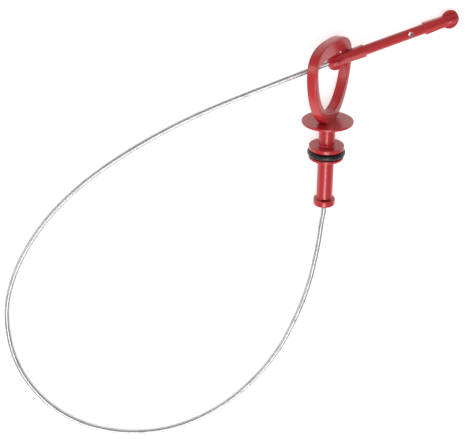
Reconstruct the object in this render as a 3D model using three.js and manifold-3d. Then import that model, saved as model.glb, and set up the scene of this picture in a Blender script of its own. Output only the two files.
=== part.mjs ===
// Flexible cable dipstick with a finger-ring handle, lying on a flat surface.
// Units are millimetres, +Z is up and the surface is z = 0.
// The handle's axis points along +Y with its ring end raised a little, because the handle
// rests on its cover rim, its collar and the low side of its ring.
import * as THREE from 'three';
import { mergeVertices } from 'three/addons/utils/BufferGeometryUtils.js';
import Module from 'manifold-3d';

const wasm = await Module();
wasm.setup();

// ---- driving dimensions: handle, along its own axis from the cover's top face ----
const COVER_R = 14.5;
const COVER_T = 1.35;
const SEAT_IN_R = 11.3;
const SEAT_RELIEF = 0.25;
const NECK_R = 4.63;
const FLANGE_TOP_Z = -14.8;
const FLANGE_R = 9.95;
const GROOVE_TOP_Z = -17.0;
const GROOVE_END_Z = -21.3;
const GROOVE_R = 7.4;
const FLANGE_END_Z = -22.85;
const SLEEVE_R = 4.6;
const COLLAR_Z = -48.1;
const COLLAR_R = 6.3;
const HANDLE_END_Z = -52.25;

// ---- driving dimensions: finger ring ----
const RING_T = 5.75;
const RING_HALF_W = 22.15;
const RING_WIDE_Z = 31.0;
const RING_TOP_Z = 45.8;
const RING_FOOT_Z = -1.8;
const GAP_HALF_W = 18.7;
const GAP_WIDE_Z = 34.4;
const GAP_TOP_Z = 38.5;
const GAP_FOOT_Z = 5.4;
const RING_EDGE = 0.6;

// ---- driving dimensions: seal, cable, ferrules ----
const SEAL_SECTION_R = 1.6;
const SEAL_MEAN_R = 9.25;
const SEAL_Z = -19.15;
const CABLE_R = 1.5;
const CABLE_BORE_R = 0.9;
const CORE_R = 0.55;
const FERRULE_IN_R = 1.79;
const HANDLE_FERRULE_R = 2.5;
const HANDLE_FERRULE_Z0 = -49.9;
const HANDLE_FERRULE_Z1 = -29.0;
const HANDLE_POCKET_R = 2.8;
const HANDLE_POCKET_Z = -28.0;
const MOUTH_R = 1.85;
const MOUTH_LENGTH = 1.9;
const CABLE_HELD_Z = -30.0;

// ---- driving dimensions: probe tip, along its own axis from the cable end ----
const TIP_LENGTH = 76.5;
const HEAD_R = 5.15;
const HEAD_CENTRE = 4.3;
const FIN_T = 1.3;
const NEAR_BODY_END = 21.4;
const FAR_BODY_START = 56.8;
const BODY_R0 = 3.1;
const BODY_R1 = 3.8;
const ROD_R = 2.8;
const HOLE_R = 1.6;
const HOLE_X = 48.2;
const TIP_POCKET_R = 2.25;
const TIP_POCKET_END = 16.6;
const TIP_FERRULE_R = 1.97;
const TIP_FERRULE_X0 = 2.2;
const TIP_FERRULE_X1 = 14.5;
const CABLE_IN_TIP = 15.6;

// ---- how it lies ----
const AXIS_TILT = Math.atan((COVER_R - COLLAR_R) / (-COVER_T - HANDLE_END_Z));
const RING_ROLL = THREE.MathUtils.degToRad(53.5);
const HANDLE_Z = COVER_R * Math.cos(AXIS_TILT) + COVER_T * Math.sin(AXIS_TILT);
const TIP_START = new THREE.Vector3(0.5, 30.8, 11.35);
const TIP_END = new THREE.Vector3(73.5, 53.0, 4.95);
const TIP_ROLL = THREE.MathUtils.degToRad(5);
const ORIGIN_SHIFT = new THREE.Vector3(-29.535, -2.223, 0.042);

// ---- free run of the cable, from the collar to the probe tip ----
const CABLE_ROUTE = [
  [0, -57, 5.3], [-1.1, -65, 4.05], [-2.1, -75, 2.8], [-4.2, -88, 1.65], [-7.1, -101, 1.45],
  [-11.5, -115, 1.45], [-17.3, -129, 1.45], [-25.1, -144.5, 1.45], [-35.3, -159, 1.45],
  [-47.5, -172, 1.45], [-61.5, -183.3, 1.45], [-77.5, -192.1, 1.45], [-95, -197.9, 1.45],
  [-113, -199.7, 1.45], [-131, -197.6, 1.45], [-149, -191.3, 1.45], [-165.5, -179.8, 1.45],
  [-178, -164.6, 1.45], [-186.3, -146.5, 1.45], [-189.6, -126.5, 1.45], [-188.3, -106.5, 1.45],
  [-182, -87.5, 1.45], [-172, -69.8, 1.45], [-159, -53.3, 1.45], [-144, -39.1, 1.45],
  [-127.5, -26.8, 1.45], [-109, -15.5, 1.45], [-92, -6.4, 1.9], [-77, 1, 3.5],
  [-61, 8.1, 6], [-45, 14.6, 8.7], [-29.5, 20.5, 10.9], [-15, 25.8, 12],
];
const CABLE_STEPS = 80;

// ---- materials ----
function redPlastic() {
  return new THREE.MeshStandardMaterial({ color: 0xab2528, roughness: 0.35, metalness: 0 });
}
function blackRubber() {
  return new THREE.MeshStandardMaterial({ color: 0x141313, roughness: 0.6, metalness: 0 });
}
function brightSteel() {
  return new THREE.MeshStandardMaterial({ color: 0xc8cccd, roughness: 0.3, metalness: 1 });
}
function brass() {
  return new THREE.MeshStandardMaterial({ color: 0xb58d4a, roughness: 0.35, metalness: 1 });
}

// ---- solids ----
function solidOf(geometry) {
  const plain = geometry.clone();
  plain.deleteAttribute('normal');
  plain.deleteAttribute('uv');
  const merged = mergeVertices(plain, 1e-4);
  const corners = merged.index.array;
  const kept = [];
  for (let i = 0; i < corners.length; i += 3) {
    const [a, b, c] = [corners[i], corners[i + 1], corners[i + 2]];
    if (a !== b && b !== c && c !== a) {
      kept.push(a, b, c);
    }
  }
  return new wasm.Manifold(new wasm.Mesh({
    numProp: 3,
    vertProperties: new Float32Array(merged.attributes.position.array),
    triVerts: new Uint32Array(kept),
  }));
}

function geometryOf(solid) {
  const mesh = solid.getMesh();
  const geometry = new THREE.BufferGeometry();
  geometry.setAttribute('position', new THREE.BufferAttribute(new Float32Array(mesh.vertProperties), 3));
  geometry.setIndex(new THREE.BufferAttribute(new Uint32Array(mesh.triVerts), 1));
  geometry.computeVertexNormals();
  return geometry;
}

function latheAlongZ(profile, segments) {
  const points = profile.map(([r, z]) => new THREE.Vector2(r, z));
  return new THREE.LatheGeometry(points, segments).rotateX(Math.PI / 2);
}

function tubeProfile(outer, inner, z0, z1) {
  return [[inner, z0], [outer, z0], [outer, z1], [inner, z1], [inner, z0]];
}

// An egg-shaped outline: widest at wideZ, rounder above it and narrowing to a foot below it.
function eggOutline(halfW, wideZ, topZ, footZ, topPower, footPower, count) {
  const points = [];
  for (let i = 0; i < count; i += 1) {
    const t = (2 * Math.PI * i) / count;
    const s = -Math.sin(t);
    const c = Math.cos(t);
    const power = c > 0 ? topPower : footPower;
    const u = halfW * Math.sign(s) * Math.abs(s) ** (2 / power);
    const reach = c > 0 ? topZ - wideZ : wideZ - footZ;
    points.push(new THREE.Vector2(u, wideZ + reach * Math.sign(c) * Math.abs(c) ** (2 / power)));
  }
  return points;
}

function fingerRing() {
  const shape = new THREE.Shape(
    eggOutline(RING_HALF_W, RING_WIDE_Z, RING_TOP_Z, RING_FOOT_Z, 2.7, 1.79, 56),
  );
  shape.holes.push(new THREE.Path(
    eggOutline(GAP_HALF_W, GAP_WIDE_Z, GAP_TOP_Z, GAP_FOOT_Z, 2.25, 1.92, 44),
  ));
  const geometry = new THREE.ExtrudeGeometry(shape, {
    depth: RING_T - 2 * RING_EDGE,
    bevelEnabled: true,
    bevelThickness: RING_EDGE,
    bevelSize: RING_EDGE,
    bevelOffset: -RING_EDGE,
    bevelSegments: 2,
  });
  return geometry.translate(0, 0, RING_EDGE - RING_T / 2).rotateX(Math.PI / 2);
}

function handleBody() {
  return latheAlongZ([
    [0, 0], [COVER_R - 0.35, 0], [COVER_R, -0.3], [COVER_R, -COVER_T + 0.3],
    [COVER_R - 0.3, -COVER_T], [SEAT_IN_R, -COVER_T], [SEAT_IN_R - 0.2, -COVER_T + SEAT_RELIEF],
    [6.1, -COVER_T + SEAT_RELIEF], [5.0, -1.6], [NECK_R, -2.6], [NECK_R, FLANGE_TOP_Z + 0.6],
    [NECK_R + 0.5, FLANGE_TOP_Z], [FLANGE_R - 0.3, FLANGE_TOP_Z], [FLANGE_R, FLANGE_TOP_Z - 0.3],
    [FLANGE_R, GROOVE_TOP_Z + 0.25], [FLANGE_R - 0.25, GROOVE_TOP_Z], [GROOVE_R, GROOVE_TOP_Z],
    [GROOVE_R, GROOVE_END_Z], [FLANGE_R - 0.25, GROOVE_END_Z], [FLANGE_R, GROOVE_END_Z - 0.3],
    [FLANGE_R, FLANGE_END_Z + 0.5], [FLANGE_R - 0.5, FLANGE_END_Z], [5.7, FLANGE_END_Z],
    [SLEEVE_R, FLANGE_END_Z - 1.1], [SLEEVE_R, COLLAR_Z + 0.2], [SLEEVE_R + 0.3, COLLAR_Z],
    [COLLAR_R - 0.8, COLLAR_Z - 0.05], [COLLAR_R - 0.2, COLLAR_Z - 0.4], [COLLAR_R, COLLAR_Z - 1.1],
    [COLLAR_R, HANDLE_END_Z + 0.9], [COLLAR_R - 0.3, HANDLE_END_Z + 0.3], [COLLAR_R - 0.9, HANDLE_END_Z],
    [0, HANDLE_END_Z],
  ].reverse(), 44);
}

// The blind pocket that holds the crimped cable end, with its narrower cable mouth.
function handlePocket() {
  const neckZ = HANDLE_END_Z + MOUTH_LENGTH;
  return latheAlongZ([
    [0, HANDLE_END_Z - 1], [MOUTH_R, HANDLE_END_Z - 1], [MOUTH_R, neckZ],
    [HANDLE_POCKET_R, neckZ], [HANDLE_POCKET_R, HANDLE_POCKET_Z], [0, HANDLE_POCKET_Z],
  ], 28);
}

function buildHandle() {
  const slot = new THREE.BoxGeometry(5, 4, 0.9).translate(0, 4.9, COLLAR_Z + 0.1);
  slot.rotateZ(Math.PI - RING_ROLL);
  const solid = solidOf(handleBody())
    .add(solidOf(fingerRing()))
    .subtract(solidOf(handlePocket()))
    .subtract(solidOf(slot));
  return geometryOf(solid);
}

function buildSeal() {
  const section = [];
  for (let i = 0; i <= 12; i += 1) {
    const t = (2 * Math.PI * i) / 12;
    section.push([
      SEAL_MEAN_R + SEAL_SECTION_R * Math.cos(t),
      SEAL_Z + SEAL_SECTION_R * Math.sin(t),
    ]);
  }
  section[12] = [...section[0]];
  return latheAlongZ(section, 44);
}

// ---- probe tip, along +X from the cable end ----
function finDisc(centreX, turned) {
  const disc = new THREE.CylinderGeometry(HEAD_R, HEAD_R, FIN_T, 32);
  if (turned) {
    disc.rotateX(Math.PI / 2);
  }
  return disc.translate(centreX, 0, 0);
}

// A six-sided body whose flats face the fins of one disc and whose edges face the other's.
function taperedBody(r0, r1, x0, x1) {
  return new THREE.CylinderGeometry(r1, r0, x1 - x0, 6).rotateZ(-Math.PI / 2)
    .rotateX(Math.PI / 6).translate((x0 + x1) / 2, 0, 0);
}

function buildTip() {
  const rodLength = FAR_BODY_START - NEAR_BODY_END + 1;
  const rod = new THREE.CylinderGeometry(ROD_R, ROD_R, rodLength, 24)
    .rotateZ(-Math.PI / 2).translate((NEAR_BODY_END + FAR_BODY_START) / 2, 0, 0);
  const trim = new THREE.BoxGeometry(TIP_LENGTH, 12, 12).translate(TIP_LENGTH / 2, 0, 0);
  const hole = new THREE.CylinderGeometry(HOLE_R, HOLE_R, 12, 24).rotateX(Math.PI / 2)
    .translate(HOLE_X, 0, 0);
  const pocket = latheAlongZ([
    [0, -1], [MOUTH_R, -1], [MOUTH_R, TIP_FERRULE_X0 - 0.3], [TIP_POCKET_R, TIP_FERRULE_X0 - 0.3],
    [TIP_POCKET_R, TIP_POCKET_END], [0, TIP_POCKET_END],
  ], 20).rotateY(Math.PI / 2);
  const solid = solidOf(rod)
    .add(solidOf(taperedBody(BODY_R0, BODY_R1, 0, NEAR_BODY_END)))
    .add(solidOf(taperedBody(BODY_R1, BODY_R0, FAR_BODY_START, TIP_LENGTH)))
    .add(solidOf(finDisc(HEAD_CENTRE, false)))
    .add(solidOf(finDisc(HEAD_CENTRE, true)))
    .add(solidOf(finDisc(TIP_LENGTH - HEAD_CENTRE, false)))
    .add(solidOf(finDisc(TIP_LENGTH - HEAD_CENTRE, true)))
    .intersect(solidOf(trim))
    .subtract(solidOf(hole))
    .subtract(solidOf(pocket));
  return geometryOf(solid);
}

// ---- assembly ----
// The dimensions above are counted from under the cover's top face. The whole part is then
// moved so that its origin is under the middle of the rigid pieces, on the surface.
const object = new THREE.Group();
const placed = new THREE.Group();
placed.position.copy(ORIGIN_SHIFT);
object.add(placed);

function addMesh(parent, name, geometry, material) {
  const mesh = new THREE.Mesh(geometry, material);
  mesh.name = name;
  parent.add(mesh);
  return mesh;
}

const handle = new THREE.Group();
handle.position.set(0, 0, HANDLE_Z);
handle.rotation.set(AXIS_TILT - Math.PI / 2, 0, RING_ROLL, 'XYZ');
placed.add(handle);

addMesh(handle, 'handle_moulding', buildHandle(), redPlastic());
addMesh(handle, 'seal_ring', buildSeal(), blackRubber());
addMesh(handle, 'handle_ferrule', latheAlongZ(
  tubeProfile(HANDLE_FERRULE_R, FERRULE_IN_R, HANDLE_FERRULE_Z0, HANDLE_FERRULE_Z1), 28,
), brass());

const tip = new THREE.Group();
const tipAxis = TIP_END.clone().sub(TIP_START).normalize();
const tipSide = new THREE.Vector3(0, 0, 1).cross(tipAxis).normalize();
const tipUp = tipAxis.clone().cross(tipSide);
tip.position.copy(TIP_START);
tip.quaternion.setFromRotationMatrix(new THREE.Matrix4().makeBasis(tipAxis, tipSide, tipUp));
tip.rotateX(TIP_ROLL);
placed.add(tip);

addMesh(tip, 'tip_moulding', buildTip(), redPlastic());
addMesh(tip, 'tip_ferrule', latheAlongZ(
  tubeProfile(TIP_FERRULE_R, FERRULE_IN_R, TIP_FERRULE_X0, TIP_FERRULE_X1), 20,
).rotateY(Math.PI / 2), brass());

// The cable runs from inside the handle's pocket to inside the tip's pocket.
const handleAxis = new THREE.Vector3(0, Math.cos(AXIS_TILT), Math.sin(AXIS_TILT));
const handleOrigin = new THREE.Vector3(0, 0, HANDLE_Z);
const pointOnHandle = (z) => handleOrigin.clone().addScaledVector(handleAxis, z);
const pointOnTip = (x) => TIP_START.clone().addScaledVector(tipAxis, x);
const cableCurve = new THREE.CatmullRomCurve3([
  pointOnHandle(CABLE_HELD_Z),
  pointOnHandle(-41),
  pointOnHandle(HANDLE_END_Z),
  ...CABLE_ROUTE.map((p) => new THREE.Vector3(...p)),
  pointOnTip(0),
  pointOnTip(8),
  pointOnTip(CABLE_IN_TIP),
], false, 'centripetal');

function polygonPath(PathClass, radius) {
  const points = [];
  for (let i = 0; i < 8; i += 1) {
    const t = ((i + 0.5) * Math.PI) / 4;
    points.push(new THREE.Vector2(radius * Math.cos(t), radius * Math.sin(t)));
  }
  return new PathClass(points);
}

function cableSolid(outer, inner) {
  const section = polygonPath(THREE.Shape, outer);
  if (inner > 0) {
    section.holes.push(polygonPath(THREE.Path, inner));
  }
  return new THREE.ExtrudeGeometry(section, {
    steps: CABLE_STEPS,
    bevelEnabled: false,
    extrudePath: cableCurve,
  });
}

addMesh(placed, 'cable_winding', cableSolid(CABLE_R, CABLE_BORE_R), brightSteel());
addMesh(placed, 'cable_core', cableSolid(CORE_R, 0), brightSteel());

export default object;
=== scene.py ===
import math

import bmesh
import bpy
from bpy.props import (
    FloatProperty,
    FloatVectorProperty,
    IntProperty,
    PointerProperty,
)
from mathutils import Matrix, Vector


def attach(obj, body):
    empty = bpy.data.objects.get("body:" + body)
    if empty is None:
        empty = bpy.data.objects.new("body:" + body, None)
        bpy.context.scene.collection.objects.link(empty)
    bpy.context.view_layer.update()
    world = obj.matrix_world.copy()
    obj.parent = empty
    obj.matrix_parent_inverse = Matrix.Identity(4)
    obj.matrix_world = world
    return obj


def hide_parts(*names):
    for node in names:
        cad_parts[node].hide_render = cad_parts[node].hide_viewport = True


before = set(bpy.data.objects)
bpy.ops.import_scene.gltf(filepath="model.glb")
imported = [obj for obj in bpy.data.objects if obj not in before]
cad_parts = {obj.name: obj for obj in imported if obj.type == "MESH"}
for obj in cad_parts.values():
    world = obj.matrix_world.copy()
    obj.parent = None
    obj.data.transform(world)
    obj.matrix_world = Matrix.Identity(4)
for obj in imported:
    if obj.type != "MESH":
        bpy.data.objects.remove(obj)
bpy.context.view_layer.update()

bl_info = {
    "name": "Flexible cable dipstick",
    "version": (1, 0, 0),
    "blender": (4, 5, 0),
    "location": "3D View > Sidebar > Dipstick",
    "description": "Builds a dipstick with a finger-ring handle, a wound cable and a probe tip",
    "category": "Object",
}

MM = 0.001
ORIGIN_SHIFT = Vector((-29.535, -2.223, 0.042)) * MM

# The cable's free run from the collar to the probe tip, in metres.
CABLE_ROUTE = [
    (0, -57, 5.3), (-1.1, -65, 4.05), (-2.1, -75, 2.8), (-4.2, -88, 1.65), (-7.1, -101, 1.45),
    (-11.5, -115, 1.45), (-17.3, -129, 1.45), (-25.1, -144.5, 1.45), (-35.3, -159, 1.45),
    (-47.5, -172, 1.45), (-61.5, -183.3, 1.45), (-77.5, -192.1, 1.45), (-95, -197.9, 1.45),
    (-113, -199.7, 1.45), (-131, -197.6, 1.45), (-149, -191.3, 1.45), (-165.5, -179.8, 1.45),
    (-178, -164.6, 1.45), (-186.3, -146.5, 1.45), (-189.6, -126.5, 1.45), (-188.3, -106.5, 1.45),
    (-182, -87.5, 1.45), (-172, -69.8, 1.45), (-159, -53.3, 1.45), (-144, -39.1, 1.45),
    (-127.5, -26.8, 1.45), (-109, -15.5, 1.45), (-92, -6.4, 1.9), (-77, 1, 3.5),
    (-61, 8.1, 6), (-45, 14.6, 8.7), (-29.5, 20.5, 10.9), (-15, 25.8, 12),
]
TIP_START = Vector((0.5, 30.8, 11.35)) * MM
TIP_END = Vector((73.5, 53.0, 4.95)) * MM
TIP_ROLL = math.radians(5)
RING_ROLL = math.radians(53.5)

# Heights along the handle's axis, in millimetres up from the cover's top face.
NECK_TOP_Z = -2.9
FLANGE_TOP_Z = -14.8
GROOVE_TOP_Z = -17.0
GROOVE_END_Z = -21.3
FLANGE_END_Z = -22.85
SEAL_Z = -19.15
POCKET_END_Z = -28.0
CABLE_HELD_Z = (-30.0, -41.0)
SLOT_Z = -48.0
COLLAR_Z = -48.1

# The cover's seat and the cable's pockets, in millimetres.
SEAT_IN_RADIUS = 11.3
SEAT_RELIEF = 0.25
MOUTH_RADIUS = 1.85
MOUTH_LENGTH = 1.9
HANDLE_POCKET_RADIUS = 2.8
TIP_POCKET_RADIUS = 2.25
TIP_POCKET_END = 16.6
CABLE_IN_TIP = (0.0, 8.0, 15.6)

# The finger ring's outlines: heights in millimetres, and how square each half is.
RING_OUTLINE = {"wide": 31.0, "top": 45.8, "foot": -1.8, "top_power": 2.7, "foot_power": 1.79}
GAP_OUTLINE = {"wide": 34.4, "top": 37.7, "foot": 5.4, "top_power": 2.25, "foot_power": 1.92}

# Softboxes: name, direction from the middle, width and height in metres, power in watts.
SOFTBOXES = (
    ("key", (-0.12, -0.62, 0.78), (0.5, 0.5), 5.8),
    ("left_fill", (-0.85, 0.1, 0.55), (0.6, 0.6), 2.8),
    ("top", (0.0, 0.0, 1.0), (0.6, 0.6), 5.2),
    ("low_front", (0.05, -0.96, 0.28), (1.6, 0.5), 4.7),
)
SOFTBOX_DISTANCE = 1.2
SOFTBOX_MIDDLE = Vector((-0.05, -0.05, 0))

MERGE_DISTANCE = 1e-7
SPAN_STEPS = 60


def length_prop(name, description, default):
    """A length in metres, shown in the scene's own unit."""
    return FloatProperty(
        name=name, description=description, default=default, min=0.0, unit="LENGTH", precision=5
    )


def colour_prop(name, description, default):
    """A linear colour with a swatch."""
    return FloatVectorProperty(
        name=name, description=description, default=default, size=3, min=0.0, max=1.0,
        subtype="COLOR",
    )


class HandleSizes(bpy.types.PropertyGroup):
    """Sizes of the moulded handle, along its own axis from the cover's top face."""

    cover_radius: length_prop("Cover radius", "Radius of the cover disc", 0.0145)
    cover_thickness: length_prop("Cover thickness", "Thickness at the cover's rim", 0.00135)
    neck_radius: length_prop("Neck radius", "Radius of the neck under the cover", 0.00463)
    flange_radius: length_prop("Flange radius", "Radius of both seal flanges", 0.00995)
    groove_radius: length_prop("Groove radius", "Radius of the seal groove's floor", 0.0074)
    sleeve_radius: length_prop("Sleeve radius", "Radius of the long sleeve", 0.0046)
    collar_radius: length_prop("Collar radius", "Radius of the collar at the cable end", 0.0063)
    handle_length: length_prop("Stem length", "From the cover's top to the collar's end", 0.05225)
    ring_thickness: length_prop("Ring thickness", "Depth of the finger ring", 0.00575)
    ring_half_width: length_prop("Ring half width", "Half the finger ring's width", 0.02215)
    gap_half_width: length_prop("Gap half width", "Half the width of the ring's opening", 0.0187)
    ring_edge: length_prop("Ring edge radius", "Rounding of the finger ring's edges", 0.001)
    seal_section: length_prop("Seal section radius", "Radius of the seal ring's section", 0.0016)
    seal_radius: length_prop("Seal mean radius", "Radius of the seal ring's centre line", 0.00925)


class CableSizes(bpy.types.PropertyGroup):
    """Sizes of the wound cable."""

    radius: length_prop("Cable radius", "Outer radius of the winding", 0.00145)
    pitch: length_prop("Winding pitch", "Width of one close-wound turn of wire", 0.0006)
    groove: length_prop("Groove depth", "Depth of the groove between two turns", 0.00007)
    around: IntProperty(
        name="Corners around", description="Corners in one turn of the winding", default=16,
        min=8, max=32,
    )


class TipSizes(bpy.types.PropertyGroup):
    """Sizes of the probe tip, along its own axis from the cable end."""

    length: length_prop("Tip length", "End face to end face", 0.0765)
    head_radius: length_prop("Head radius", "Radius of the finned heads", 0.00515)
    head_centre: length_prop("Head centre", "From an end face to its head's centre", 0.0043)
    fin_thickness: length_prop("Fin thickness", "Thickness of a fin", 0.0013)
    near_body_end: length_prop("Near body end", "Where the body at the cable ends", 0.0214)
    far_body_start: length_prop("Far body start", "Where the body at the free end starts", 0.0568)
    body_end_radius: length_prop("Body end radius", "Corner radius at the end faces", 0.0031)
    body_rod_radius: length_prop("Body rod radius", "Corner radius next to the rod", 0.0038)
    rod_radius: length_prop("Rod radius", "Radius of the thin rod", 0.0028)
    hole_radius: length_prop("Hole radius", "Radius of the gauge hole", 0.0016)
    hole_place: length_prop("Hole place", "From the cable end to the gauge hole", 0.0482)


class Finishes(bpy.types.PropertyGroup):
    """Colours of the object's own materials and of the floor."""

    plastic: colour_prop("Red plastic", "Moulded handle and tip", (0.41, 0.019, 0.022))
    rubber: colour_prop("Seal rubber", "Seal ring", (0.007, 0.006, 0.006))
    steel: colour_prop("Cable steel", "Wound wires", (0.6, 0.6, 0.6))
    brass: colour_prop("Ferrule brass", "Crimped ferrules", (0.72, 0.5, 0.22))
    floor: colour_prop("Floor", "Pale studio floor", (0.6, 0.6, 0.6))


# ---- placing ----

def handle_matrix():
    """The handle's own axis (local +Z, toward the finger ring) laid into the row frame."""
    s = bpy.context.scene.dipstick_handle
    tilt = math.atan(
        (s.cover_radius - s.collar_radius) / (s.handle_length - s.cover_thickness)
    )
    height = s.cover_radius * math.cos(tilt) + s.cover_thickness * math.sin(tilt)
    lift = Matrix.Translation(ORIGIN_SHIFT + Vector((0, 0, height)))
    turn = Matrix.Rotation(tilt - math.pi / 2, 4, "X") @ Matrix.Rotation(RING_ROLL, 4, "Z")
    return lift @ turn


def tip_matrix():
    """The tip's own axis (local +X, away from the cable) laid into the row frame."""
    along = (TIP_END - TIP_START).normalized()
    side = Vector((0, 0, 1)).cross(along).normalized()
    up = along.cross(side)
    basis = Matrix((along, side, up)).transposed().to_4x4()
    return (
        Matrix.Translation(TIP_START + ORIGIN_SHIFT)
        @ basis
        @ Matrix.Rotation(TIP_ROLL, 4, "X")
    )


def cable_points():
    """Every point that the cable's centre line goes through, with its held ends."""
    place = handle_matrix()
    tip = tip_matrix()
    end = -bpy.context.scene.dipstick_handle.handle_length / MM
    held = [place @ Vector((0, 0, z * MM)) for z in (*CABLE_HELD_Z, end)]
    free = [Vector(p) * MM + ORIGIN_SHIFT for p in CABLE_ROUTE]
    inside = [tip @ Vector((x * MM, 0, 0)) for x in CABLE_IN_TIP]
    return held + free + inside


def centripetal(points, step):
    """A smooth line through the points, in even steps."""
    ends = [points[0] * 2 - points[1]] + list(points) + [points[-1] * 2 - points[-2]]
    fine = []
    for i in range(1, len(ends) - 2):
        p0, p1, p2, p3 = ends[i - 1:i + 3]
        k0 = math.sqrt((p1 - p0).length)
        k1 = math.sqrt((p2 - p1).length)
        k2 = math.sqrt((p3 - p2).length)
        m1 = ((p1 - p0) / k0 - (p2 - p0) / (k0 + k1) + (p2 - p1) / k1) * k1
        m2 = ((p2 - p1) / k1 - (p3 - p1) / (k1 + k2) + (p3 - p2) / k2) * k1
        for j in range(SPAN_STEPS):
            t = j / SPAN_STEPS
            fine.append(
                p1 * (2 * t**3 - 3 * t**2 + 1) + m1 * (t**3 - 2 * t**2 + t)
                + p2 * (3 * t**2 - 2 * t**3) + m2 * (t**3 - t**2)
            )
    fine.append(Vector(points[-1]))
    total = sum((b - a).length for a, b in zip(fine, fine[1:]))
    count = round(total / step)
    even = [fine[0]]
    walked = 0.0
    wanted = total / count
    for a, b in zip(fine, fine[1:]):
        span = (b - a).length
        while walked + span >= wanted * len(even) and len(even) < count:
            even.append(a.lerp(b, (wanted * len(even) - walked) / span))
        walked += span
    even.append(fine[-1])
    return even, total


# ---- mesh helpers ----

def add_piece(name, bm, place, material, sharp=math.radians(35)):
    """Puts a finished mesh into the row frame as one named piece on the root body."""
    bm.transform(place)
    bmesh.ops.recalc_face_normals(bm, faces=bm.faces[:])
    mesh = bpy.data.meshes.new(name)
    bm.to_mesh(mesh)
    bm.free()
    for polygon in mesh.polygons:
        polygon.use_smooth = True
    mesh.materials.append(material)
    piece = bpy.data.objects.new(name, mesh)
    bpy.context.scene.collection.objects.link(piece)
    if sharp:
        mesh.set_sharp_from_angle(angle=sharp)
        flats = piece.modifiers.new("even_flats", "WEIGHTED_NORMAL")
        flats.keep_sharp = True
    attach(piece, "root")
    return piece


def revolve(bm, profile, steps):
    """Spins a profile of (radius, height) in millimetres about Z into a closed shell."""
    verts = [bm.verts.new((r * MM, 0, z * MM)) for r, z in profile]
    edges = [bm.edges.new(pair) for pair in zip(verts, verts[1:])]
    bmesh.ops.spin(
        bm, geom=verts + edges, cent=(0, 0, 0), axis=(0, 0, 1), dvec=(0, 0, 0),
        angle=2 * math.pi, steps=steps, use_merge=True, use_duplicate=False,
    )
    bmesh.ops.remove_doubles(bm, verts=bm.verts[:], dist=MERGE_DISTANCE)


def along_x(bm):
    """Turns a shell made along Z to lie along X."""
    bmesh.ops.rotate(
        bm, verts=bm.verts[:], cent=(0, 0, 0), matrix=Matrix.Rotation(math.pi / 2, 3, "Y")
    )
    return bm


def rounded(profile, steps):
    """The profile with its corners rounded; every point but the ends carries its radius."""
    points = [Vector((p[0], p[1])) for p in profile]
    radii = [p[2] if len(p) > 2 else 0 for p in profile]
    out = [points[0]]
    for i in range(1, len(points) - 1):
        a, b, c = points[i - 1:i + 2]
        to_a = a - b
        to_c = c - b
        bend = to_a.angle(to_c)
        cut = min(radii[i] / math.tan(bend / 2), 0.48 * to_a.length, 0.48 * to_c.length)
        start = b + to_a.normalized() * cut
        end = b + to_c.normalized() * cut
        for j in range(steps + 1):
            t = j / steps
            out.append(start * (1 - t) ** 2 + b * 2 * t * (1 - t) + end * t**2)
    out.append(points[-1])
    return [(p.x, p.y) for p in out]


def egg(half_w, wide, top, foot, top_power, foot_power, count=160):
    """An egg-shaped outline in millimetres, widest at wide and narrowing to its foot."""
    points = []
    for i in range(count):
        t = 2 * math.pi * i / count
        s, c = math.sin(t), math.cos(t)
        power = top_power if c > 0 else foot_power
        u = half_w * math.copysign(abs(s) ** (2 / power), s)
        reach = top - wide if c > 0 else wide - foot
        points.append((u, wide + reach * math.copysign(abs(c) ** (2 / power), c)))
    return points


def loop_of(bm, points, y):
    """A closed loop of edges in the plane y, through (x, z) points in millimetres."""
    verts = [bm.verts.new((u * MM, y, v * MM)) for u, v in points]
    return [bm.edges.new((a, b)) for a, b in zip(verts, verts[1:] + verts[:1])]


def joined(name, shells, cutters=()):
    """One closed skin: the first shell with the others added and the cutters taken away."""
    helpers = []
    for index, shell in enumerate([*shells, *cutters]):
        bmesh.ops.recalc_face_normals(shell, faces=shell.faces[:])
        mesh = bpy.data.meshes.new(f"{name}_rough_{index}")
        shell.to_mesh(mesh)
        shell.free()
        helper = bpy.data.objects.new(mesh.name, mesh)
        bpy.context.scene.collection.objects.link(helper)
        helpers.append(helper)
    base = helpers[0]
    for index, helper in enumerate(helpers[1:], start=1):
        step = base.modifiers.new(helper.name, "BOOLEAN")
        step.operation = "UNION" if index < len(shells) else "DIFFERENCE"
        step.solver = "EXACT"
        step.object = helper
    skin = bmesh.new()
    skin.from_object(base, bpy.context.evaluated_depsgraph_get())
    for helper in helpers:
        mesh = helper.data
        bpy.data.objects.remove(helper, do_unlink=True)
        bpy.data.meshes.remove(mesh)
    bmesh.ops.remove_doubles(skin, verts=skin.verts[:], dist=2e-6)
    return skin


def softened(bm, offset, segments=3, angle=math.radians(30)):
    """Rounds every edge of a shell that turns by more than the angle."""
    edges = [e for e in bm.edges if len(e.link_faces) == 2 and e.calc_face_angle(0.0) > angle]
    bmesh.ops.bevel(
        bm, geom=edges, offset=offset, offset_type="OFFSET", segments=segments,
        profile=0.5, affect="EDGES", clamp_overlap=True, material=-1,
    )
    return bm


# ---- shader groups ----

def new_group(name, inputs, outputs):
    """An empty shader group with named sockets."""
    tree = bpy.data.node_groups.new(name, "ShaderNodeTree")
    for label, kind, default in inputs:
        socket = tree.interface.new_socket(name=label, in_out="INPUT", socket_type=kind)
        socket.default_value = default
    for label, kind in outputs:
        tree.interface.new_socket(name=label, in_out="OUTPUT", socket_type=kind)
    return tree, tree.nodes.new("NodeGroupInput"), tree.nodes.new("NodeGroupOutput")


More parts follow.
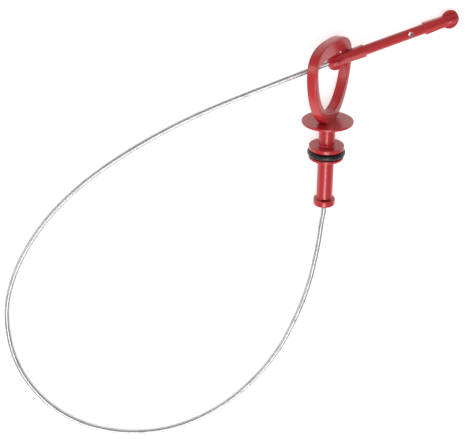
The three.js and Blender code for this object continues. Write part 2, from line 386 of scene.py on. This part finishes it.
def moulded_surface_group():
    """Faint flow marks, handling smudges and a fine grain for moulded plastic and rubber."""
    tree, given, out = new_group(
        "moulded_surface",
        [
            ("Colour", "NodeSocketColor", (0.5, 0.5, 0.5, 1)),
            ("Deep Colour", "NodeSocketColor", (0.3, 0.3, 0.3, 1)),
            ("Roughness Low", "NodeSocketFloat", 0.25),
            ("Roughness High", "NodeSocketFloat", 0.4),
            ("Grain Size", "NodeSocketFloat", 2500.0),
            ("Flow Size", "NodeSocketFloat", 90.0),
        ],
        [
            ("Colour", "NodeSocketColor"),
            ("Roughness", "NodeSocketFloat"),
            ("Height", "NodeSocketFloat"),
        ],
    )
    nodes, links = tree.nodes, tree.links
    place = nodes.new("ShaderNodeTexCoord")
    flow = nodes.new("ShaderNodeTexNoise")
    flow.inputs["Detail"].default_value = 3.0
    flow.inputs["Distortion"].default_value = 0.6
    grain = nodes.new("ShaderNodeTexNoise")
    grain.inputs["Detail"].default_value = 2.0
    smudge = nodes.new("ShaderNodeTexNoise")
    smudge.inputs["Scale"].default_value = 260.0
    smudge.inputs["Detail"].default_value = 5.0
    smudge.inputs["Roughness"].default_value = 0.65
    for texture in (flow, grain, smudge):
        links.new(place.outputs["Object"], texture.inputs["Vector"])
    links.new(given.outputs["Flow Size"], flow.inputs["Scale"])
    links.new(given.outputs["Grain Size"], grain.inputs["Scale"])
    tint = nodes.new("ShaderNodeMapRange")
    tint.inputs["From Min"].default_value = 0.35
    tint.inputs["From Max"].default_value = 0.7
    links.new(flow.outputs["Fac"], tint.inputs["Value"])
    mix = nodes.new("ShaderNodeMix")
    mix.data_type = "RGBA"
    links.new(tint.outputs["Result"], mix.inputs[0])
    links.new(given.outputs["Colour"], mix.inputs[6])
    links.new(given.outputs["Deep Colour"], mix.inputs[7])
    links.new(mix.outputs[2], out.inputs["Colour"])
    rough = nodes.new("ShaderNodeMapRange")
    rough.inputs["From Min"].default_value = 0.3
    rough.inputs["From Max"].default_value = 0.7
    links.new(smudge.outputs["Fac"], rough.inputs["Value"])
    links.new(given.outputs["Roughness Low"], rough.inputs["To Min"])
    links.new(given.outputs["Roughness High"], rough.inputs["To Max"])
    links.new(rough.outputs["Result"], out.inputs["Roughness"])
    height = nodes.new("ShaderNodeMath")
    height.operation = "MULTIPLY_ADD"
    height.inputs[1].default_value = 0.6
    links.new(grain.outputs["Fac"], height.inputs[0])
    links.new(flow.outputs["Fac"], height.inputs[2])
    links.new(height.outputs[0], out.inputs["Height"])
    return tree


def drawn_metal_group():
    """Drawing lines, dull spots and painted shade in the recesses for wire and ferrules."""
    tree, given, out = new_group(
        "drawn_metal",
        [
            ("Colour", "NodeSocketColor", (0.6, 0.6, 0.6, 1)),
            ("Dull Colour", "NodeSocketColor", (0.3, 0.3, 0.3, 1)),
            # Painted shade: how far the colour is darkened in a recess.
            ("Recess Painted Shade", "NodeSocketFloat", 0.0),
            ("Roughness Low", "NodeSocketFloat", 0.2),
            ("Roughness High", "NodeSocketFloat", 0.4),
            ("Line Size", "NodeSocketFloat", 900.0),
        ],
        [
            ("Colour", "NodeSocketColor"),
            ("Roughness", "NodeSocketFloat"),
            ("Height", "NodeSocketFloat"),
        ],
    )
    nodes, links = tree.nodes, tree.links
    place = nodes.new("ShaderNodeTexCoord")
    spots = nodes.new("ShaderNodeTexNoise")
    spots.inputs["Scale"].default_value = 180.0
    spots.inputs["Detail"].default_value = 6.0
    lines = nodes.new("ShaderNodeTexNoise")
    lines.inputs["Detail"].default_value = 4.0
    lines.inputs["Roughness"].default_value = 0.7
    links.new(place.outputs["Object"], spots.inputs["Vector"])
    links.new(place.outputs["Object"], lines.inputs["Vector"])
    links.new(given.outputs["Line Size"], lines.inputs["Scale"])
    dull = nodes.new("ShaderNodeMapRange")
    dull.inputs["From Min"].default_value = 0.45
    dull.inputs["From Max"].default_value = 0.75
    dull.inputs["To Max"].default_value = 0.35
    links.new(spots.outputs["Fac"], dull.inputs["Value"])
    # Dull spots plus the painted shade that darkens the recesses.
    total = nodes.new("ShaderNodeMath")
    total.operation = "ADD"
    total.use_clamp = True
    links.new(dull.outputs["Result"], total.inputs[0])
    links.new(given.outputs["Recess Painted Shade"], total.inputs[1])
    mix = nodes.new("ShaderNodeMix")
    mix.data_type = "RGBA"
    links.new(total.outputs[0], mix.inputs[0])
    links.new(given.outputs["Colour"], mix.inputs[6])
    links.new(given.outputs["Dull Colour"], mix.inputs[7])
    links.new(mix.outputs[2], out.inputs["Colour"])
    rough = nodes.new("ShaderNodeMapRange")
    rough.inputs["From Min"].default_value = 0.3
    rough.inputs["From Max"].default_value = 0.7
    links.new(lines.outputs["Fac"], rough.inputs["Value"])
    links.new(given.outputs["Roughness Low"], rough.inputs["To Min"])
    links.new(given.outputs["Roughness High"], rough.inputs["To Max"])
    links.new(rough.outputs["Result"], out.inputs["Roughness"])
    links.new(lines.outputs["Fac"], out.inputs["Height"])
    return tree


def group_named(name, maker):
    """The shader group of that name, built on first use."""
    return bpy.data.node_groups.get(name) or maker()


def surface_material(name, group, values, metallic=0.0, bump=(0.1, 0.00002), **shader_values):
    """A material, and its shared group node that gives colour, roughness and bump."""
    material = bpy.data.materials.new(name)
    material.use_nodes = True
    nodes, links = material.node_tree.nodes, material.node_tree.links
    shader = nodes["Principled BSDF"]
    shader.inputs["Metallic"].default_value = metallic
    for label, value in shader_values.items():
        shader.inputs[label.replace("_", " ")].default_value = value
    effect = nodes.new("ShaderNodeGroup")
    effect.node_tree = group
    for label, value in values.items():
        effect.inputs[label].default_value = value
    links.new(effect.outputs["Colour"], shader.inputs["Base Color"])
    links.new(effect.outputs["Roughness"], shader.inputs["Roughness"])
    relief = nodes.new("ShaderNodeBump")
    relief.inputs["Strength"].default_value = bump[0]
    relief.inputs["Distance"].default_value = bump[1]
    links.new(effect.outputs["Height"], relief.inputs["Height"])
    links.new(relief.outputs["Normal"], shader.inputs["Normal"])
    return material, effect


def colour4(colour, scale=1.0):
    """A linear colour with full alpha, darkened or lightened."""
    return (colour[0] * scale, colour[1] * scale, colour[2] * scale, 1.0)


def red_plastic():
    """Semi-gloss red moulded plastic."""
    found = bpy.data.materials.get("red_plastic")
    if found:
        return found
    red = bpy.context.scene.dipstick_finishes.plastic
    material, _ = surface_material(
        "red_plastic",
        group_named("moulded_surface", moulded_surface_group),
        {
            "Colour": colour4(red),
            "Deep Colour": colour4(red, 0.76),
            "Roughness Low": 0.25,
            "Roughness High": 0.4,
            "Grain Size": 2400.0,
            "Flow Size": 170.0,
        },
        bump=(0.2, 0.00003),
        Specular_IOR_Level=0.55,
    )
    return material


def seal_rubber():
    """Smooth black seal rubber with a slight sheen."""
    black = bpy.context.scene.dipstick_finishes.rubber
    material, _ = surface_material(
        "seal_rubber",
        group_named("moulded_surface", moulded_surface_group),
        {
            "Colour": colour4(black),
            "Deep Colour": colour4(black, 1.9),
            "Roughness Low": 0.26,
            "Roughness High": 0.4,
            "Grain Size": 2600.0,
            "Flow Size": 180.0,
        },
        bump=(0.2, 0.00002),
        Specular_IOR_Level=0.38,
    )
    return material


def metal(name, colour, lines, low, high, painted_shade_attribute=None):
    """Drawn wire or ferrule metal; a stored mask may darken its recesses as painted shade."""
    material, effect = surface_material(
        name,
        group_named("drawn_metal", drawn_metal_group),
        {
            "Colour": colour4(colour),
            # The darker colour serves both the dull spots and the painted shade in recesses.
            "Dull Colour": colour4(colour, 0.42),
            "Roughness Low": low,
            "Roughness High": high,
            "Line Size": lines,
        },
        metallic=1.0,
        bump=(0.15, 0.00001),
    )
    # The stored mask darkens the colour in the recesses: painted shade.
    if painted_shade_attribute:
        nodes, links = material.node_tree.nodes, material.node_tree.links
        painted_shade_mask = nodes.new("ShaderNodeAttribute")
        painted_shade_mask.attribute_name = painted_shade_attribute
        links.new(painted_shade_mask.outputs["Fac"], effect.inputs["Recess Painted Shade"])
    return material


# ---- operators: one for each piece or group of like pieces ----

class DIPSTICK_OT_camera(bpy.types.Operator):
    """Set the camera, looking down on the laid-out dipstick from beyond its finger ring"""

    bl_idname = "dipstick.camera"
    bl_label = "Camera"

    def execute(self, context):
        lens = bpy.data.cameras.new("camera")
        lens.lens = 68.5
        lens.sensor_width = 36.0
        lens.clip_start = 0.01
        lens.clip_end = 20.0
        camera = bpy.data.objects.new("camera", lens)
        camera.location = (-0.12032, 0.1121, 0.49856)
        camera.rotation_euler = (
            math.radians(-19.21), math.radians(-5.014), math.radians(-1.245)
        )
        context.scene.collection.objects.link(camera)
        context.scene.camera = camera
        return {"FINISHED"}


class DIPSTICK_OT_cable(bpy.types.Operator):
    """Wind the steel wires of the cable along its route"""

    bl_idname = "dipstick.cable"
    bl_label = "Cable"

    def execute(self, context):
        s = context.scene.dipstick_cable
        steps_per_turn = 4
        line, total = centripetal(cable_points(), s.pitch / steps_per_turn)
        bm = bmesh.new()
        # This layer stores how deep each corner lies in the groove between turns; the steel is
        # darkened by it as painted shade.
        groove = bm.verts.layers.float.new("groove")
        normal = Vector((0, 0, 1))
        rings = []
        for i, centre in enumerate(line):
            ahead = line[min(i + 1, len(line) - 1)] - line[max(i - 1, 0)]
            along = ahead.normalized()
            normal = (normal - along * normal.dot(along)).normalized()
            side = along.cross(normal)
            ring = []
            for k in range(s.around):
                phase = (i / steps_per_turn + k / s.around) % 1.0
                depth = (0.5 + 0.5 * math.cos(2 * math.pi * phase)) ** 2
                radius = s.radius - s.groove * depth
                a = 2 * math.pi * k / s.around
                vert = bm.verts.new(centre + (normal * math.cos(a) + side * math.sin(a)) * radius)
                vert[groove] = depth
                ring.append(vert)
            rings.append(ring)
        for a, b in zip(rings, rings[1:]):
            for k in range(s.around):
                j = (k + 1) % s.around
                bm.faces.new((a[k], a[j], b[j], b[k]))
        bm.faces.new(rings[0])
        bm.faces.new(rings[-1])
        colour = context.scene.dipstick_finishes.steel
        # The groove layer darkens the steel between the turns as painted shade.
        material = metal("cable_steel", colour, 1500.0, 0.26, 0.4, "groove")
        piece = add_piece("cable", bm, Matrix.Identity(4), material, sharp=None)
        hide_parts("cable_winding")
        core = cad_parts["cable_core"]
        core.data.materials.clear()
        core.data.materials.append(metal("core_steel", colour, 2200.0, 0.25, 0.4))
        return {"FINISHED"}


class DIPSTICK_OT_handle(bpy.types.Operator):
    """Mould the handle: finger ring, cover, neck, seal flanges, sleeve and collar"""

    bl_idname = "dipstick.handle"
    bl_label = "Handle"

    def finger_ring(self, s):
        """The egg-shaped ring, whose foot reaches through the cover into the neck."""
        bm = bmesh.new()
        half = s.ring_thickness / 2
        outer = loop_of(bm, egg(s.ring_half_width / MM, **RING_OUTLINE), -half)
        inner = loop_of(bm, egg(s.gap_half_width / MM, **GAP_OUTLINE), -half)
        bridged = bmesh.ops.bridge_loops(bm, edges=outer + inner)
        grown = bmesh.ops.extrude_face_region(bm, geom=bridged["faces"])
        moved = [v for v in grown["geom"] if isinstance(v, bmesh.types.BMVert)]
        bmesh.ops.translate(bm, verts=moved, vec=(0, 2 * half, 0))
        bmesh.ops.recalc_face_normals(bm, faces=bm.faces[:])
        return softened(bm, s.ring_edge, 4, math.radians(60))

    def body(self, s):
        """Cover, neck, flanges, sleeve and collar in one profile, with the cable's pocket."""
        cover = s.cover_radius / MM
        rim = -s.cover_thickness / MM
        neck = s.neck_radius / MM
        flange = s.flange_radius / MM
        groove = s.groove_radius / MM
        sleeve = s.sleeve_radius / MM
        collar = s.collar_radius / MM
        end = -s.handle_length / MM
        relief = rim + SEAT_RELIEF
        pocket = end + MOUTH_LENGTH
        profile = rounded([
            (0, 0), (cover, 0, 0.35), (cover, rim, 0.35), (SEAT_IN_RADIUS, rim, 0.1),
            (SEAT_IN_RADIUS - 0.2, relief, 0.1), (neck + 0.6, relief, 0.8),
            (neck, NECK_TOP_Z, 0.8), (neck, FLANGE_TOP_Z, 0.6), (flange, FLANGE_TOP_Z, 0.35),
            (flange, GROOVE_TOP_Z, 0.25), (groove, GROOVE_TOP_Z, 0.3),
            (groove, GROOVE_END_Z, 0.3), (flange, GROOVE_END_Z, 0.25),
            (flange, FLANGE_END_Z, 0.6), (sleeve, FLANGE_END_Z, 1.1), (sleeve, COLLAR_Z, 0.4),
            (collar, COLLAR_Z - 0.05, 1.0), (collar, end, 0.9),
            (MOUTH_RADIUS + 0.4, end, 0.3), (MOUTH_RADIUS, end + 0.4, 0.2),
            (MOUTH_RADIUS, pocket, 0.1), (HANDLE_POCKET_RADIUS, pocket, 0.1),
            (HANDLE_POCKET_RADIUS, POCKET_END_Z, 0.3), (0, POCKET_END_Z),
        ], steps=5)
        bm = bmesh.new()
        revolve(bm, profile, 160)
        return bm

    def moulding_slot(self):
        """The short slot that the mould's core leaves just above the collar."""
        bm = bmesh.new()
        turn = Matrix.Rotation(math.pi - RING_ROLL, 4, "Z")
        place = Matrix.Translation((0, 4.9 * MM, SLOT_Z * MM))
        size = Matrix.Diagonal((5.0 * MM, 4.0 * MM, 0.9 * MM, 1))
        bmesh.ops.create_cube(bm, size=1.0, matrix=turn @ place @ size)
        return bm

    def execute(self, context):
        s = context.scene.dipstick_handle
        skin = joined("handle", [self.body(s), self.finger_ring(s)], [self.moulding_slot()])
        piece = add_piece("handle", skin, handle_matrix(), red_plastic())
        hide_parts("handle_moulding")
        return {"FINISHED"}


class DIPSTICK_OT_seal(bpy.types.Operator):
    """Make the seal ring that sits between the two flanges"""

    bl_idname = "dipstick.seal"
    bl_label = "Seal ring"

    def execute(self, context):
        s = context.scene.dipstick_handle
        bm = bmesh.new()
        section = bmesh.ops.create_circle(bm, cap_ends=False, segments=28, radius=s.seal_section)
        verts = section["verts"]
        bmesh.ops.rotate(
            bm, verts=verts, cent=(0, 0, 0), matrix=Matrix.Rotation(math.pi / 2, 3, "X")
        )
        bmesh.ops.translate(bm, verts=verts, vec=(s.seal_radius, 0, SEAL_Z * MM))
        bmesh.ops.spin(
            bm, geom=bm.verts[:] + bm.edges[:], cent=(0, 0, 0), axis=(0, 0, 1), dvec=(0, 0, 0),
            angle=2 * math.pi, steps=144, use_merge=True, use_duplicate=False,
        )
        bmesh.ops.remove_doubles(bm, verts=bm.verts[:], dist=MERGE_DISTANCE)
        piece = add_piece("seal", bm, handle_matrix(), seal_rubber(), None)
        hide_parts("seal_ring")
        return {"FINISHED"}


class DIPSTICK_OT_ferrules(bpy.types.Operator):
    """Finish the two crimped ferrules on the cable's held ends"""

    bl_idname = "dipstick.ferrules"
    bl_label = "Ferrules"

    def execute(self, context):
        colour = context.scene.dipstick_finishes.brass
        material = metal("ferrule_brass", colour, 1200.0, 0.25, 0.4)
        for name in ("handle_ferrule", "tip_ferrule"):
            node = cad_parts[name]
            node.data.materials.clear()
            node.data.materials.append(material)
        return {"FINISHED"}


class DIPSTICK_OT_tip(bpy.types.Operator):
    """Mould the probe tip with its finned heads, tapered bodies and gauge hole"""

    bl_idname = "dipstick.tip"
    bl_label = "Probe tip"

    def body(self, start_radius, end_radius, start, end):
        """A tapered six-sided body along X, with two of its flats at the sides."""
        bm = bmesh.new()
        bmesh.ops.create_cone(
            bm, cap_ends=True, cap_tris=False, segments=6, radius1=start_radius,
            radius2=end_radius, depth=end - start,
            matrix=Matrix.Translation(((start + end) / 2, 0, 0))
            @ Matrix.Rotation(math.pi / 6, 4, "X") @ Matrix.Rotation(math.pi / 2, 4, "Y"),
        )
        return bm

    def rod(self, s):
        """The round rod, in short stretches so that the hole's cut stays local."""
        bm = bmesh.new()
        overlap = 1.0
        start = s.near_body_end / MM - overlap
        end = s.far_body_start / MM + overlap
        radius = s.rod_radius / MM
        stretches = 24
        places = [start + (end - start) * i / stretches for i in range(stretches + 1)]
        revolve(bm, [(0, start), *((radius, x) for x in places), (0, end)], 72)
        return along_x(bm)

    def fin(self, s, centre, turn):
        """A thin round disc through the axis, cut off a hair inside the tip's end face."""
        bm = bmesh.new()
        bmesh.ops.create_cone(
            bm, cap_ends=True, cap_tris=False, segments=96, radius1=s.head_radius,
            radius2=s.head_radius, depth=s.fin_thickness,
            matrix=Matrix.Translation((centre, 0, 0)) @ Matrix.Rotation(turn, 4, "X"),
        )
        softened(bm, 0.3 * MM, 3, math.radians(60))
        inset = 0.02 * MM
        way, end = (-1, inset) if centre < s.length / 2 else (1, s.length - inset)
        bmesh.ops.bisect_plane(
            bm, geom=bm.verts[:] + bm.edges[:] + bm.faces[:], dist=MERGE_DISTANCE,
            plane_co=(end, 0, 0), plane_no=(way, 0, 0), clear_outer=True,
        )
        bmesh.ops.holes_fill(bm, edges=[e for e in bm.edges if e.is_boundary], sides=0)
        return bm

    def hole(self, s):
        """The gauge hole's cutter, turned by half a corner to clear the rod's own edges."""
        bm = bmesh.new()
        corners = 64
        bmesh.ops.create_cone(
            bm, cap_ends=True, cap_tris=False, segments=corners, radius1=s.hole_radius,
            radius2=s.hole_radius, depth=4 * s.rod_radius,
            matrix=Matrix.Translation((s.hole_place, 0, 0))
            @ Matrix.Rotation(math.pi / corners, 4, "Z"),
        )
        return bm

    def pocket(self, s):
        """The blind pocket around the crimped cable end, with its narrower mouth."""
        bm = bmesh.new()
        revolve(bm, [
            (0, -1.0), (MOUTH_RADIUS, -1.0), (MOUTH_RADIUS, MOUTH_LENGTH),
            (TIP_POCKET_RADIUS, MOUTH_LENGTH), (TIP_POCKET_RADIUS, TIP_POCKET_END),
            (0, TIP_POCKET_END),
        ], 48)
        return along_x(bm)

    def execute(self, context):
        s = context.scene.dipstick_tip
        small, large = s.body_end_radius, s.body_rod_radius
        edge = 0.4 * MM
        shells = [
            self.rod(s),
            softened(self.body(small, large, 0.0, s.near_body_end), edge),
            softened(self.body(large, small, s.far_body_start, s.length), edge),
        ]
        for centre in (s.head_centre, s.length - s.head_centre):
            shells += [self.fin(s, centre, 0.0), self.fin(s, centre, math.pi / 2)]
        skin = joined("tip", shells, [self.hole(s), self.pocket(s)])
        piece = add_piece("tip", skin, tip_matrix(), red_plastic())
        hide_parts("tip_moulding")
        return {"FINISHED"}


class DIPSTICK_OT_stage(bpy.types.Operator):
    """Lay the pale floor and set the soft studio light"""

    bl_idname = "dipstick.stage"
    bl_label = "Stage"

    def execute(self, context):
        bm = bmesh.new()
        bmesh.ops.create_grid(bm, x_segments=8, y_segments=8, size=3.0)
        mesh = bpy.data.meshes.new("floor")
        bm.to_mesh(mesh)
        bm.free()
        material = bpy.data.materials.new("floor")
        material.use_nodes = True
        shader = material.node_tree.nodes["Principled BSDF"]
        shader.inputs["Base Color"].default_value = colour4(context.scene.dipstick_finishes.floor)
        shader.inputs["Roughness"].default_value = 0.9
        shader.inputs["Specular IOR Level"].default_value = 0.1
        shader.inputs["Emission Color"].default_value = (1.0, 1.0, 1.0, 1.0)
        shader.inputs["Emission Strength"].default_value = 0.6
        mesh.materials.append(material)
        floor = bpy.data.objects.new("floor", mesh)
        context.scene.collection.objects.link(floor)

        for name, direction, size, power in SOFTBOXES:
            lamp = bpy.data.lights.new(name, "AREA")
            lamp.shape = "RECTANGLE"
            lamp.size, lamp.size_y = size
            lamp.energy = power
            light = bpy.data.objects.new(name, lamp)
            aim = Vector(direction).normalized()
            light.location = aim * SOFTBOX_DISTANCE + SOFTBOX_MIDDLE
            light.rotation_euler = aim.to_track_quat("Z", "Y").to_euler()
            context.scene.collection.objects.link(light)

        world = bpy.data.worlds.new("studio")
        world.use_nodes = True
        back = world.node_tree.nodes["Background"]
        back.inputs["Color"].default_value = (1.0, 1.0, 1.0, 1.0)
        back.inputs["Strength"].default_value = 0.38
        context.scene.world = world
        context.scene.view_settings.view_transform = "Standard"
        return {"FINISHED"}


class DIPSTICK_PT_panel(bpy.types.Panel):
    """The dipstick's build steps and sizes"""

    bl_idname = "DIPSTICK_PT_panel"
    bl_label = "Dipstick"
    bl_space_type = "VIEW_3D"
    bl_region_type = "UI"
    bl_category = "Dipstick"

    def draw(self, context):
        layout = self.layout
        for operator in OPERATORS:
            layout.operator(operator.bl_idname)
        for group in ("dipstick_handle", "dipstick_cable", "dipstick_tip", "dipstick_finishes"):
            box = layout.box()
            settings = getattr(context.scene, group)
            for name in settings.__annotations__:
                box.prop(settings, name)


GROUPS = {
    "dipstick_handle": HandleSizes,
    "dipstick_cable": CableSizes,
    "dipstick_tip": TipSizes,
    "dipstick_finishes": Finishes,
}
OPERATORS = (
    DIPSTICK_OT_camera,
    DIPSTICK_OT_cable,
    DIPSTICK_OT_handle,
    DIPSTICK_OT_seal,
    DIPSTICK_OT_ferrules,
    DIPSTICK_OT_tip,
    DIPSTICK_OT_stage,
)


def register():
    """Register every class and its settings on the scene."""
    for name, group in GROUPS.items():
        bpy.utils.register_class(group)
        setattr(bpy.types.Scene, name, PointerProperty(type=group))
    for operator in OPERATORS:
        bpy.utils.register_class(operator)
    bpy.utils.register_class(DIPSTICK_PT_panel)


def unregister():
    """Take everything back out, in the opposite order."""
    bpy.utils.unregister_class(DIPSTICK_PT_panel)
    for operator in reversed(OPERATORS):
        bpy.utils.unregister_class(operator)
    for name, group in reversed(list(GROUPS.items())):
        delattr(bpy.types.Scene, name)
        bpy.utils.unregister_class(group)


def main():
    """Build the whole scene in order."""
    register()
    bpy.ops.dipstick.camera()
    bpy.ops.dipstick.cable()
    bpy.ops.dipstick.handle()
    bpy.ops.dipstick.seal()
    bpy.ops.dipstick.ferrules()
    bpy.ops.dipstick.tip()
    bpy.ops.dipstick.stage()


if __name__ == "__main__":
    main()
